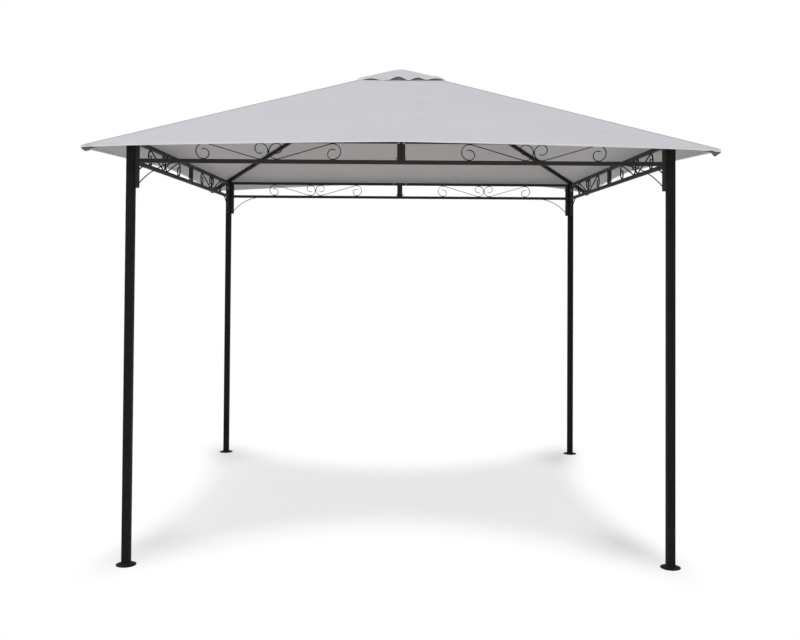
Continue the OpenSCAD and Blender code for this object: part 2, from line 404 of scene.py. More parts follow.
def makeWeaveGroup():
    group, start, end = startGroup(
        "plainWeave",
        [("Place", "NodeSocketVector", None), ("Threads", "NodeSocketFloat", 900.0)],
        ["Height", "Slub", "Cloud"])
    place = start.outputs["Place"]
    split = addNode(group, "ShaderNodeSeparateXYZ")
    wire(group, place, split.inputs[0])
    turns = mathNode(group, "MULTIPLY", start.outputs["Threads"], 2 * math.pi)
    waves = []
    for axis in ("X", "Y"):
        phase = mathNode(group, "MULTIPLY", split.outputs[axis], turns)
        waves.append(mathNode(group, "SINE", phase))
    weave = mathNode(group, "MULTIPLY", *waves)
    wire(group, spread(group, weave, -1.0, 1.0), end.inputs["Height"])
    slubs = []
    for stretch in ((26.0, 900.0, 60.0), (900.0, 26.0, 60.0)):
        along = addNode(group, "ShaderNodeMapping")
        along.inputs["Scale"].default_value = stretch
        wire(group, place, along.inputs["Vector"])
        slubs.append(noiseNode(group, along.outputs[0], 1.0, 1.0))
    slub = mathNode(group, "ADD", *slubs)
    wire(group, spread(group, slub, 0.7, 1.3), end.inputs["Slub"])
    cloud = noiseNode(group, place, 2.2, 3.0)
    wire(group, spread(group, cloud, 0.3, 0.7), end.inputs["Cloud"])
    return group


plainWeave = makeWeaveGroup()


clothLook = {"rough": 0.82, "roughSpread": 0.06, "specular": 0.25, "sheen": 0.08,
             "slow": 0.55, "fine": 0.45, "thread": 0.0002}


def makeCloth(name, pale, dark, threads, relief):
    rough = clothLook["rough"]
    finish, tree, shader, place = startFinish(name, rough, clothLook["specular"])
    shader.inputs["Sheen Weight"].default_value = clothLook["sheen"]
    weave = useGroup(tree, plainWeave, {"Place": place, "Threads": threads})
    slow = mathNode(tree, "MULTIPLY", weave.outputs["Cloud"], clothLook["slow"])
    fine = mathNode(tree, "MULTIPLY", weave.outputs["Slub"], clothLook["fine"])
    share = mathNode(tree, "ADD", slow, fine, True)
    wire(tree, tint(tree, share, pale, dark), shader.inputs["Base Color"])
    worn = spread(tree, weave.outputs["Slub"], 0.0, 1.0,
                  rough - clothLook["roughSpread"], rough + clothLook["roughSpread"])
    wire(tree, worn, shader.inputs["Roughness"])
    height = mathNode(tree, "ADD", weave.outputs["Height"], weave.outputs["Slub"])
    addBump(tree, shader, height, relief, clothLook["thread"])
    return finish


# finish name, pale and dark tones, threads to the metre, relief
cloth = {
    "outside": makeCloth("canopyCloth", (0.586, 0.579, 0.619), (0.550, 0.543, 0.582), 900.0, 0.35),
    # the inside finish is the canopy cloth made darker: painted shade on the underside of the canopy and of
    # the cap
    "inside": makeCloth("canopyUndersidePaintedShade", (0.462, 0.444, 0.438), (0.428, 0.411, 0.405), 900.0, 0.30),
    # the eave tape is lighter than the cloth, partly its own colour and partly painted highlight for the
    # light on the hem's fold
    "tape": makeCloth("bindingTapePaintedHighlight", (0.790, 0.792, 0.808), (0.750, 0.752, 0.768), 650.0, 0.50),
    # the cap's tape is a lighter copy of the eave tape, partly its own colour and partly painted highlight
    # for the light border along the arches
    "capTapePaintedHighlight": makeCloth("capTapePaintedHighlight", (0.915, 0.918, 0.930), (0.880, 0.883, 0.896), 650.0, 0.50),
    "pocket": makeCloth("pocketCloth", (0.150, 0.147, 0.146), (0.105, 0.103, 0.102), 650.0, 0.60),
    # painted light: the vent mesh's grey stands in for the light through the cap's cloth
    "paintedLightNet": makeCloth("ventNetPaintedLight", (0.240, 0.235, 0.245), (0.190, 0.186, 0.195), 420.0, 0.80),
    "thread": makeCloth("sewingThread", (0.640, 0.640, 0.655), (0.560, 0.560, 0.575), 2400.0, 0.6),
}
print("finishes made:", len(bpy.data.materials))


# frame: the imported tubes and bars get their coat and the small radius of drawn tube

# coat and edge radius of each kind of node
coatOf = {
    "post": ("post", 0.0), "foot_plate": ("post", 0.0006), "hip_rafter": ("rail", 0.0018),
    "truss": ("rail", 0.0018), "scrollwork": ("bar", 0.0), "corner_brace": ("bar", 0.0006),
    "crown_hub": ("bar", 0.0008), "crown_disc": ("bar", 0.0),
}
drawnEdge = {"merge": 2e-5, "flat": math.radians(0.5), "segments": 2, "sharp": math.radians(50)}


def roundEdges(piece, radius):
    weld = piece.modifiers.new("weld", "WELD")
    weld.merge_threshold = drawnEdge["merge"]
    flat = piece.modifiers.new("flat faces", "DECIMATE")
    flat.decimate_type = "DISSOLVE"
    flat.angle_limit = drawnEdge["flat"]
    edge = piece.modifiers.new("drawn edge", "BEVEL")
    edge.width = radius
    edge.segments = drawnEdge["segments"]
    edge.limit_method = "ANGLE"
    edge.angle_limit = drawnEdge["sharp"]
    edge.harden_normals = True


for nodeName, piece in nodes.items():
    for kind, (finish, radius) in coatOf.items():
        if not nodeName.startswith(kind):
            continue
        piece.data.materials.clear()
        piece.data.materials.append(coat[finish])
        if radius:
            roundEdges(piece, radius)
print("frame coated")


# canopy: one sheet of four sewn panels with its hem

canopy = {
    "pitch": math.radians(24),
    # how far the middle of each eave is drawn in, more to one end of some, and how full each half is
    "eaveDip": [0.068, 0.062, 0.135, 0.062],
    "eaveLean": [0, 0, -0.20, -0.20],
    "eavePower": [(1.10, 1.10), (1.10, 1.50), (4.00, 1.65), (1.50, 1.25)],
    # the tips jut out a little from the line of some eaves
    "eaveNose": [0.022, 0.008, 0, 0],
    "nosePower": 24,
    "hemTip": [0.014, 0.014, 0.005, 0.005],
    "hemMid": 0.004,
    "hemRows": 3,
    "cloth": 0.0016,
    "columns": 88,         # in each panel
    "rows": 90,
    "drawPower": 3,        # how fast the draw-in fades up the slope
    "sag": 0.009,          # between the hips
    "sagPower": (1.5, 1.2),
    "ripple": 0.0011,
    "lumpScale": (3.1, 2.3),
    "lumpSeed": (11, 7.7),
    "settle": (3, 6, 8),   # how soon ripples set in away from the hips, the vent and the eave
}
slope = math.tan(canopy["pitch"])
roofApex = panelHigh.z + slope * ventHalf

# soft creases across the slope: side, place along it, distance from the axis, half length, tilt, depth
creases = [
    (0, 0.130, 0.485, 0.055, 0.00, 0.0074), (0, 0.130, 0.566, 0.050, 0.10, 0.0086),
    (0, 0.136, 0.716, 0.060, 0.22, 0.0120), (0, 0.119, 0.874, 0.040, 0.00, 0.0100),
    (0, 0.132, 1.022, 0.066, 0.55, 0.0120), (0, -0.100, 0.540, 0.070, 0.00, 0.0056),
    (0, 1.040, 1.290, 0.050, 0.30, 0.0090), (1, -0.180, 0.620, 0.080, 0.15, 0.0024),
    (1, -0.150, 0.800, 0.060, -0.30, 0.0020), (1, 0.420, 1.050, 0.090, 0.40, 0.0016),
    (2, 0.090, 0.560, 0.070, 0.10, 0.0020), (2, 0.110, 0.760, 0.080, -0.20, 0.0026),
    (2, -0.520, 1.020, 0.070, 0.50, 0.0016), (3, 0.060, 0.500, 0.060, 0.00, 0.0018),
    (3, 0.200, 0.690, 0.090, 0.30, 0.0026), (3, -0.300, 0.940, 0.070, -0.40, 0.0018),
]
creaseForm = {"width": 0.026, "lip": 1.2, "reach": 3}


def creaseDepth(side, along, out):
    depth = 0
    for onSide, x, t, half, tilt, deep in creases:
        if onSide != side:
            continue
        dx = (along - x) / half
        dt = (out - t + tilt * (along - x)) / creaseForm["width"]
        if max(abs(dx), abs(dt)) < creaseForm["reach"]:
            depth += deep * math.exp(-dx * dx - dt * dt) * (1 - creaseForm["lip"] * dt)
    return depth


def eaveDrawn(side, u):
    shape = 1 - abs(u) ** canopy["eavePower"][side][u > 0]
    drawn = canopy["eaveDip"][side] * shape * (1 + canopy["eaveLean"][side] * u)
    return drawn + canopy["eaveNose"][side] * (1 - abs(u) ** canopy["nosePower"])


def eaveOut(side, u):
    return halfEave - eaveDrawn(side, u)


def hemDrop(side, u):
    tip = canopy["hemTip"][(side + (u > 0)) % 4]
    return canopy["hemMid"] + (tip - canopy["hemMid"]) * u * u


def panelPoint(side, u, v):
    # u runs along the eave from -1 to 1, v down the slope from the vent to the eave
    v = min(1, max(0, v))
    half = ventHalf + v * (halfEave - ventHalf)
    along = u * half
    out = half - eaveDrawn(side, u) * v ** canopy["drawPower"]
    acrossPower, downPower = canopy["sagPower"]
    slack = (1 - u * u) ** acrossPower * abs(math.sin(math.pi * v)) ** downPower
    scale, seed = canopy["lumpScale"], canopy["lumpSeed"]
    lumps = noise.noise(Vector((along * scale[0] + seed[0] * side, out * scale[1], side * seed[1])))
    hip, vent, eave = canopy["settle"]
    ripple = (canopy["ripple"] * lumps * min(1, (1 - u * u) * hip) * min(1, v * vent)
              * min(1, (1 - v) * eave))
    z = roofApex - slope * out - canopy["sag"] * slack + ripple - creaseDepth(side, along, out)
    return turned((along, -out, z), side)


def eavePoint(side, u, up, proud):
    # a point up from the hem's lower edge, measured along the cloth, and proud of its face
    drop = hemDrop(side, u)
    out = eaveOut(side, u)
    z = roofApex - slope * out
    if up <= drop:
        return turned((u * halfEave, -out - proud, z - drop + up), side)
    back = up - drop
    out -= back * math.cos(canopy["pitch"]) - proud * math.sin(canopy["pitch"])
    z += back * math.sin(canopy["pitch"]) + proud * math.cos(canopy["pitch"])
    inner = (halfEave - back) / halfEave
    return turned((u * halfEave * inner, -out, z), side)


def sideOf(x, y):
    if abs(y) >= abs(x):
        return 0 if y < 0 else 2
    return 1 if x > 0 else 3


def makeCanopy():
    dropSelection()
    bpy.ops.mesh.primitive_plane_add(size=2 * ventHalf)
    sheet = bpy.context.object
    bpy.ops.object.mode_set(mode="EDIT")
    bpy.context.tool_settings.mesh_select_mode = (False, True, False)
    bpy.ops.mesh.select_all(action="SELECT")
    bpy.ops.mesh.delete(type="ONLY_FACE")
    bpy.ops.mesh.select_all(action="SELECT")
    bpy.ops.mesh.subdivide(number_cuts=canopy["columns"] - 1)
    bpy.ops.mesh.extrude_edges_move()
    stretch = halfEave / ventHalf
    bpy.ops.transform.resize(value=(stretch, stretch, 1))
    closeMesh()
    # only the edges that run from the vent to the eave are cut into rows
    ring = [max(abs(vert.co.x), abs(vert.co.y)) for vert in sheet.data.vertices]
    selectParts(sheet, "EDGE", lambda edge: abs(ring[edge.vertices[0]] - ring[edge.vertices[1]]) > hair)
    bpy.ops.mesh.subdivide(number_cuts=canopy["rows"] - 1)
    closeMesh()
    outer = {vert.index for vert in sheet.data.vertices
             if max(abs(vert.co.x), abs(vert.co.y)) > halfEave - hair}
    for vert in sheet.data.vertices:
        side = sideOf(vert.co.x, vert.co.y)
        local = turned(vert.co, -side)
        half = -local.y
        u = max(-1, min(1, local.x / half))
        vert.co = panelPoint(side, u, (half - ventHalf) / (halfEave - ventHalf))
    # the hem hangs from the eave
    selectParts(sheet, "EDGE", lambda edge: edge.vertices[0] in outer and edge.vertices[1] in outer)
    for row in range(canopy["hemRows"]):
        bpy.ops.mesh.extrude_edges_move()
        closeMesh()
        share = 1 - (row + 1) / canopy["hemRows"]
        for vert in sheet.data.vertices:
            if vert.select:
                side = sideOf(vert.co.x, vert.co.y)
                local = turned(vert.co, -side)
                u = max(-1, min(1, local.x / halfEave))
                vert.co = eavePoint(side, u, share * hemDrop(side, u), 0)
        bpy.ops.object.mode_set(mode="EDIT")
    outwards(sheet)
    # the inside faces get the painted shade of the underside
    dress(sheet, cloth["outside"], cloth["inside"])
    thicken(sheet, canopy["cloth"], inside=1)
    applyModifiers(sheet)
    smoothBy(sheet, 31)
    return sheet


canopySheet = makeCanopy()
fasten(canopySheet, "canopy_sheet")
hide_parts(*["canopy_" + side for side in sides])
print("canopy sewn:", len(canopySheet.data.polygons), "faces")


# vent cap: a soft pyramid over the vent, its edge lifting in arches

cap = {
    "lift": 0.0127,        # its top face above the canopy's
    "cells": 92,
    "cloth": 0.0015,
    "foldRound": 0.006,    # radius of the sewn hips, larger at the corners
    "cornerRound": 0.016,
    "edgeReach": 0.080,    # how far up the slope an arch fades out
    "hemRows": 3,
    "hemSink": 0.0004,     # how far the hem reaches below the canopy's face
    "ripple": 0.0012,
    "lumpScale": 16,
    "lumpSeed": (3.3, -1.7, 2.9),
    "calmTop": 0.08,       # ripples fade towards the top within this
    # arches of each side: place along the edge, half width, height
    "arches": [
        [(-0.182, 0.074, 0.012), (-0.088, 0.014, 0.003), (-0.017, 0.073, 0.024),
         (0.103, 0.066, 0.019), (0.213, 0.086, 0.014)],
        [(-0.317, 0.086, 0.014), (-0.180, 0.056, 0.012), (-0.080, 0.052, 0.018),
         (0.050, 0.056, 0.010), (0.180, 0.062, 0.020)],
        [(-0.205, 0.058, 0.010), (-0.085, 0.056, 0.021), (0.040, 0.050, 0.013), (0.175, 0.060, 0.015)],
        [(-0.185, 0.060, 0.016), (-0.060, 0.050, 0.011), (0.065, 0.058, 0.022), (0.195, 0.056, 0.010)],
    ],
}
capApex = roofApex + cap["lift"]
crownRound = (capApex - capHigh.z) / slope


def archLift(side, along):
    lift = 0
    for place, half, height in cap["arches"][side]:
        if abs(along - place) < half:
            lift += height * math.cos(math.pi / 2 * (along - place) / half) ** 2
    return lift


def edgeShare(out):
    share = min(1, max(0, (out - halfCap + cap["edgeReach"]) / cap["edgeReach"]))
    return share * share * (3 - 2 * share)


def capPoint(x, y):
    side = sideOf(x, y)
    local = turned((x, y, 0), -side)
    along, out = local.x, -local.y
    share = edgeShare(out)
    fold = cap["foldRound"] + cap["cornerRound"] * share
    reach = out + fold * math.log(1 + math.exp(-abs(abs(x) - abs(y)) / fold))
    z = capApex - slope * math.hypot(reach, crownRound) + archLift(side, along) * share
    scale, seed = cap["lumpScale"], cap["lumpSeed"]
    lumps = noise.noise(Vector((x * scale + seed[0], y * scale + seed[1], seed[2])))
    return Vector((x, y, z + cap["ripple"] * lumps * min(1, out / cap["calmTop"])))


def capEdge(side, u, up, proud):
    # a point up from the lower edge of the cap's hem, measured along the cloth
    along = u * halfCap
    top = capPoint(*turned((along, -halfCap, 0), side).xy).z
    foot = roofApex - slope * halfCap - cap["hemSink"] + archLift(side, along)
    drop = top - foot
    if up <= drop:
        return turned((along, -halfCap - proud, foot + up), side)
    back = up - drop
    inner = halfCap - back * math.cos(canopy["pitch"])
    point = capPoint(*turned((u * inner, -inner, 0), side).xy)
    return point + turned((0, -proud * math.sin(canopy["pitch"]), proud * math.cos(canopy["pitch"])), side)


def makeCap():
    dropSelection()
    cells = cap["cells"]
    rowStep = 0.001      # hem rows are told apart by this drop until they get their place
    bpy.ops.mesh.primitive_grid_add(x_subdivisions=cells, y_subdivisions=cells, size=2 * halfCap)
    sheet = bpy.context.object
    rim = {vert.index for vert in sheet.data.vertices
           if max(abs(vert.co.x), abs(vert.co.y)) > halfCap - hair}
    selectParts(sheet, "EDGE", lambda edge: edge.vertices[0] in rim and edge.vertices[1] in rim)
    for row in range(cap["hemRows"]):
        bpy.ops.mesh.extrude_edges_move()
        bpy.ops.transform.translate(value=(0, 0, -rowStep))
    closeMesh()
    for vert in sheet.data.vertices:
        hemRow = round(-vert.co.z / rowStep)
        if hemRow == 0:
            vert.co = capPoint(vert.co.x, vert.co.y)
            continue
        side = sideOf(vert.co.x, vert.co.y)
        along = turned(vert.co, -side).x
        u = max(-1, min(1, along / halfCap))
        drop = capPoint(vert.co.x, vert.co.y).z - capEdge(side, u, 0, 0).z
        vert.co = capEdge(side, u, drop * (1 - hemRow / cap["hemRows"]), 0)
    outwards(sheet)
    # the inside faces get the painted shade of the underside
    dress(sheet, cloth["outside"], cloth["inside"])
    thicken(sheet, cap["cloth"], inside=1)
    applyModifiers(sheet)
    smoothBy(sheet, 60)
    return sheet


ventCap = fasten(makeCap(), "vent_cap_sheet")
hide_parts("vent_cap")
print("vent cap sewn")


# vent mesh: an assumed grey mesh that stands between the canopy and the cap, just inside its edge; its grey
# is painted light, standing in for the light that comes through the cap's cloth into the shade under the
# arches

paintedLightNetting = {"inset": 0.008, "cloth": 0.0006, "columns": 92, "clear": 0.0006, "least": 0.002,
           "meanRise": 1.28}     # its mean height as a share of the cap's lift


def makeVentPaintedLightNet():
    half = halfCap - paintedLightNetting["inset"]
    count = 4 * paintedLightNetting["columns"]
    points = []
    for row in range(2):
        for step in range(count):
            side, column = divmod(step, paintedLightNetting["columns"])
            place = turned(((2 * column / paintedLightNetting["columns"] - 1) * half, -half, 0), side)
            low = roofApex - slope * half + paintedLightNetting["clear"]
            under = cap["cloth"] / math.cos(canopy["pitch"]) + paintedLightNetting["clear"]
            high = capPoint(place.x, place.y).z - under
            points.append((place.x, place.y, low if row == 0 else max(high, low + paintedLightNetting["least"])))
    piece = meshPiece("ventPaintedLightNet", points, bandFaces(1, count))
    dress(piece, cloth["paintedLightNet"])
    thicken(piece, paintedLightNetting["cloth"])
    applyModifiers(piece)
    smoothBy(piece, 40)
    return piece


ventPaintedLightNet = fasten(makeVentPaintedLightNet(), "vent_painted_light_net")


# bindings: folded tape round the lower edges of the canopy hem and of the cap

binding = {"width": 0.011, "rows": 4, "thick": 0.0034, "fold": 0.0009, "eaveColumns": 64, "capColumns": 92}


def makeBinding(edgePoint, columns, centre, tape):
    count = 4 * columns
    points = []
    for row in range(binding["rows"] + 1):
        up = binding["width"] * row / binding["rows"]
        for step in range(count):
            side, column = divmod(step, columns)
            points.append(edgePoint(side, 2 * column / columns - 1, up, -centre))
    piece = meshPiece("binding", points, bandFaces(binding["rows"], count))
    outwards(piece)
    dress(piece, cloth[tape])
    thicken(piece, binding["thick"], 0)
    foldEdge = piece.modifiers.new("fold", "BEVEL")
    foldEdge.width = binding["fold"]
    foldEdge.segments = 2
    foldEdge.limit_method = "ANGLE"
    applyModifiers(piece)
    smoothBy(piece, 50)
    return piece


eaveTape = makeBinding(eavePoint, binding["eaveColumns"], canopy["cloth"] / 2, "tape")
eaveBinding = fasten(eaveTape, "eave_binding")
capTapePaintedHighlight = makeBinding(capEdge, binding["capColumns"], cap["cloth"] / 2, "capTapePaintedHighlight")
capBinding = fasten(capTapePaintedHighlight, "cap_binding")
print("edges bound")


# hip seams: a flat tape felled over each hip

seam = {"half": 0.013, "thick": 0.0009, "rows": 60, "top": 0.20, "end": 0.010, "proud": 0.0003,
        "flanks": [-1, -0.5, 0, 0.5, 1]}


def hipPoint(corner, out, flank, proud):
    # flank runs from -1 on one panel over the hip to 1 on the next
    shift = abs(flank) * seam["half"]
    z = roofApex - slope * out + proud
    local = (-out + shift, -out, z) if flank >= 0 else (-out, -out + shift, z)
    return turned(local, corner)


def makeSeam(corner):
    length = halfEave - seam["end"] - seam["top"]
    points = []
    for row in range(seam["rows"] + 1):
        out = seam["top"] + length * row / seam["rows"]
        points += [hipPoint(corner, out, flank, seam["proud"]) for flank in seam["flanks"]]
    piece = meshPiece("seam", points, stripFaces(seam["rows"], len(seam["flanks"])))
    outwards(piece)
    if piece.data.polygons[0].normal.z < 0:
        piece.data.flip_normals()
    dress(piece, cloth["outside"])
    thicken(piece, seam["thick"], 1)
    applyModifiers(piece)
    smoothBy(piece, 20)
    return piece


for index, corner in enumerate(corners):
    fasten(makeSeam(index), "hip_seam_" + corner)
print("hips felled")


# stitches: short thread lengths along the tapes

stitch = {"long": 0.0042, "pitch": 0.0062, "thick": 0.0011, "tipInset": 0.22, "tipRise": 0.3,
          # on the bindings: up from the lower edge, proud of the cloth, and points along a side
          "up": 0.0085, "proud": 0.0011, "eaveColumns": 60, "capColumns": 92,
          # on the hip seams
          "hipFlank": 0.75, "hipProud": 0.0015}


def makeStitch():
    dropSelection()
    bpy.ops.mesh.primitive_cylinder_add(vertices=6, radius=stitch["thick"] / 2, depth=stitch["long"])
    seed = bpy.context.object
    selectParts(seed, "FACE", lambda face: len(face.vertices) == 6)
    bpy.ops.mesh.inset(thickness=stitch["thick"] * stitch["tipInset"],
                       depth=stitch["thick"] * stitch["tipRise"])
    closeMesh()
    return seed


def sewAlong(name, lines):
    # lines are lists of points, walked at the stitch pitch
    places = []
    for line in lines:
        spare = 0
        for start, end in zip(line, line[1:]):
            step = end - start
            gone = spare
            while gone < step.length:
                places.append(pointing(start + step * (gone / step.length), step))
                gone += stitch["pitch"]
            spare = gone - step.length
    return setCopies(makeStitch(), places, name, cloth["thread"], 50)


def edgeLines(edgePoint, columns):
    return [[edgePoint(side, 2 * step / columns - 1, stitch["up"], stitch["proud"])
             for step in range(columns + 1)] for side in range(4)]


eaveStitches = sewAlong("eave_stitches", edgeLines(eavePoint, stitch["eaveColumns"]))
capStitches = sewAlong("cap_stitches", edgeLines(capEdge, stitch["capColumns"]))
hipStitches = sewAlong("hip_stitches", [
    [hipPoint(corner, out, flank, stitch["hipProud"]) for out in (seam["top"], halfEave - seam["end"])]
    for corner in range(4) for flank in (-stitch["hipFlank"], stitch["hipFlank"])])
print("stitches sewn:", sum(len(piece.data.polygons) for piece in (eaveStitches, capStitches, hipStitches)))


# corner pockets: dark pouches sewn under the tips, which take the rafter ends

pocket = {"leg": 0.048, "deep": [0.011, 0.020, 0.002, 0.002], "low": 0.46, "band": 0.0022, "cloth": 0.0014,
          "sag": [0.0060, 0.0015, 0.0010, 0.0010], "steps": 14, "rows": 8, "merge": 1e-5,
          # the band stands proud of the hem, and the pouch starts below it, a little less proud
          "bandProud": 0.0024, "below": 0.0012, "pouchProud": 0.0020, "fullness": 1.2}


def makePocket(corner):
    across = 2 * pocket["steps"]
    rim = []
    for step in range(across + 1):
        # the rim runs along one hem to the tip and back along the next
        gone = (step - pocket["steps"]) / pocket["steps"] * pocket["leg"]
        side = corner if gone >= 0 else (corner - 1) % 4
        u = -1 + gone / halfEave if gone >= 0 else 1 + gone / halfEave
        rim.append((side, u))
    low = pocket["leg"] * pocket["low"]
    foot = eavePoint(corner, -1, 0, 0).z - pocket["deep"][corner]
    centre = turned((low - halfEave, low - halfEave, foot), corner)
    points = []
    for up in (pocket["band"], pocket["band"] / 2):
        points += [eavePoint(side, u, up, pocket["bandProud"]) for side, u in rim]
    for row in range(pocket["rows"] + 1):
        share = row / pocket["rows"]
        for side, u in rim:
            start = eavePoint(side, u, -pocket["below"], pocket["pouchProud"] * (1 - share))
            point = start.lerp(centre, share)
            point.z -= pocket["sag"][corner] * math.sin(math.pi * share)
            points.append(point)
    piece = meshPiece("pocket", points, stripFaces(len(points) // len(rim) - 1, len(rim)))
    outwards(piece, pocket["merge"])
    if sum(face.normal.z * face.area for face in piece.data.polygons) > 0:
        piece.data.flip_normals()
    dress(piece, cloth["pocket"])
    thicken(piece, pocket["cloth"])
    applyModifiers(piece)
    smoothBy(piece, 60)
    return piece


for index, corner in enumerate(corners):
    pouch = fasten(makePocket(index), "corner_pocket_" + corner)
    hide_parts("corner_pockets")
print("pockets sewn")


# bolts: zinc hexagon heads and nuts on washers

bolt = {"across": 0.010, "head": 0.0042, "washer": 0.0062, "washerT": 0.0012, "stub": 0.0032,
        "washerEdge": 0.0003, "chamfer": (0.0009, 0.0006), "nutRim": 0.0008, "stubTip": (0.0005, 0.0004)}


def makeHead(withStub):
    dropSelection()
    bpy.ops.mesh.primitive_cylinder_add(vertices=24, radius=bolt["washer"], depth=bolt["washerT"],
                                        location=(0, 0, bolt["washerT"] / 2))
    washer = bpy.context.object
    selectParts(washer, "EDGE", lambda edge: all(washer.data.vertices[i].co.z > 0 for i in edge.vertices))
    bpy.ops.mesh.bevel(offset=bolt["washerEdge"], segments=2)
    dropSelection()
    bpy.ops.mesh.primitive_cylinder_add(vertices=6, radius=bolt["across"] / math.sqrt(3), depth=bolt["head"],
                                        location=(0, 0, bolt["washerT"] + bolt["head"] / 2))
    head = bpy.context.object
    selectParts(head, "FACE", lambda face: face.normal.z > facing)
    bpy.ops.mesh.inset(thickness=bolt["chamfer"][0], depth=bolt["chamfer"][1])
    if withStub:
        bpy.ops.mesh.inset(thickness=bolt["nutRim"], depth=0)
        bpy.ops.mesh.extrude_region_move(TRANSFORM_OT_translate={"value": (0, 0, bolt["stub"])})
        bpy.ops.mesh.inset(thickness=bolt["stubTip"][0], depth=bolt["stubTip"][1])
    closeMesh()
    washer.select_set(True)
    head.select_set(True)
    bpy.context.view_layer.objects.active = head
    bpy.ops.object.join()
    bpy.ops.object.transform_apply(location=True, rotation=True, scale=True)
    return head


# up from the rails, out from the middle of a side, and down from the top of a stile
boltPlace = {"midUp": 0.010, "headOut": 0.013, "headUp": 0.003, "nutOut": 0.047, "nutUp": 0.014,
             "stileDown": 0.050}
railTop = scrollHigh.z
railFoot = scrollLow.z
midHeight = railFoot + boltPlace["midUp"]
headHeight = railTop + boltPlace["headUp"]
nutHeight = railTop + boltPlace["nutUp"]
stileFace = halfSpan - postW / 2 - railW
stileHeight = trussTop - boltPlace["stileDown"]
heads = []
nuts = []
for side in range(4):
    heads.append(aimed((railW, -halfSpan, midHeight), (1, 0, 0), side))
    nuts.append(aimed((-railW, -halfSpan, midHeight), (-1, 0, 0), side))
    for end in (-1, 1):
        outside = (end * boltPlace["headOut"], -halfSpan - railW / 2, headHeight)
        inside = (end * boltPlace["nutOut"], -halfSpan + railW / 2, nutHeight)
        heads.append(aimed(outside, (0, -1, 0), side))
        nuts.append(aimed(inside, (0, 1, 0), side))
        heads.append(aimed((end * stileFace, -halfSpan, stileHeight), (-end, 0, 0), side))
setCopies(makeHead(withStub=False), heads, "bolt_heads", zincBolt, 35)
setCopies(makeHead(withStub=True), nuts, "bolt_nuts", zincBolt, 35)
print("bolts set:", len(heads) + len(nuts))


# weld beads where the scrolls and braces meet the rails and stiles

bead = {"long": 0.0085, "wide": 0.0060, "tall": 0.0026, "wobble": 0.10, "waves": 1500,
        "braceIn": 0.012, "braceUp": 0.006}     # from the ends of a corner brace


def makeBead():
    dropSelection()
    bpy.ops.mesh.primitive_uv_sphere_add(segments=12, ring_count=8, radius=0.5)
    seed = bpy.context.object
    openMesh()
    bpy.ops.transform.resize(value=(bead["long"], bead["wide"], bead["tall"]))
    closeMesh()
    for vert in seed.data.vertices:
        vert.co *= 1 + bead["wobble"] * math.sin(vert.co.x * bead["waves"])
    return seed


scrollMid = (scrollLow.x + scrollHigh.x) / 2
scrollReach = (scrollHigh.x - scrollLow.x) / 2
loopR = (scrollHigh.z - scrollLow.z) / 2
beadSpots = []
for side in range(4):
    for half in (-1, 1):
        for away in (loopR, scrollReach - loopR):
            for end in (-1, 1):
                x = half * abs(scrollMid) + end * away
                for z in (railFoot, railTop):
                    beadSpots.append(lyingAt((x, -halfSpan, z), side))
        braceEnd = half * (stileFace - (braceHigh.x - braceLow.x) + bead["braceIn"])
        beadSpots.append(lyingAt((braceEnd, -halfSpan, braceHigh.z), side))
        braceFoot = (half * stileFace, -halfSpan, braceLow.z + bead["braceUp"])
        beadSpots.append(aimed(braceFoot, (half, 0, 0), side))
setCopies(makeBead(), beadSpots, "weld_beads", coat["bar"], 60)
print("welds run:", len(beadSpots))


# plugs in the open ends of the stiles, and the weld round the foot of each post

plug = {"lip": 0.0022, "round": 0.0025, "rim": (0.0012, 0.0007), "dish": (0.0030, -0.0006)}


def makePlug():
    dropSelection()
    bpy.ops.mesh.primitive_cube_add(size=1)
    seed = bpy.context.object
    openMesh()
    bpy.ops.transform.resize(value=(railW, railW, plug["lip"]))
    selectParts(seed, "EDGE", lambda edge: abs(
        seed.data.vertices[edge.vertices[0]].co.z - seed.data.vertices[edge.vertices[1]].co.z) > hair)
    bpy.ops.mesh.bevel(offset=plug["round"], segments=3)
    selectParts(seed, "FACE", lambda face: face.normal.z < -facing)
    for thickness, depth in (plug["rim"], plug["dish"]):
        bpy.ops.mesh.inset(thickness=thickness, depth=depth)
    closeMesh()
    return seed


plugPlace = (stileFace + railW / 2, stileFoot - plug["lip"] / 2)
plugSpots = [Matrix.Translation(turned((end * plugPlace[0], -halfSpan, plugPlace[1]), side))
             for side in range(4) for end in (-1, 1)]
setCopies(makePlug(), plugSpots, "stile_plugs", plugPlastic, 40)

footWeld = {"leg": 0.0045, "round": 0.0034, "cuts": 5, "belly": 0.62, "wobble": 0.0004, "waves": 34}


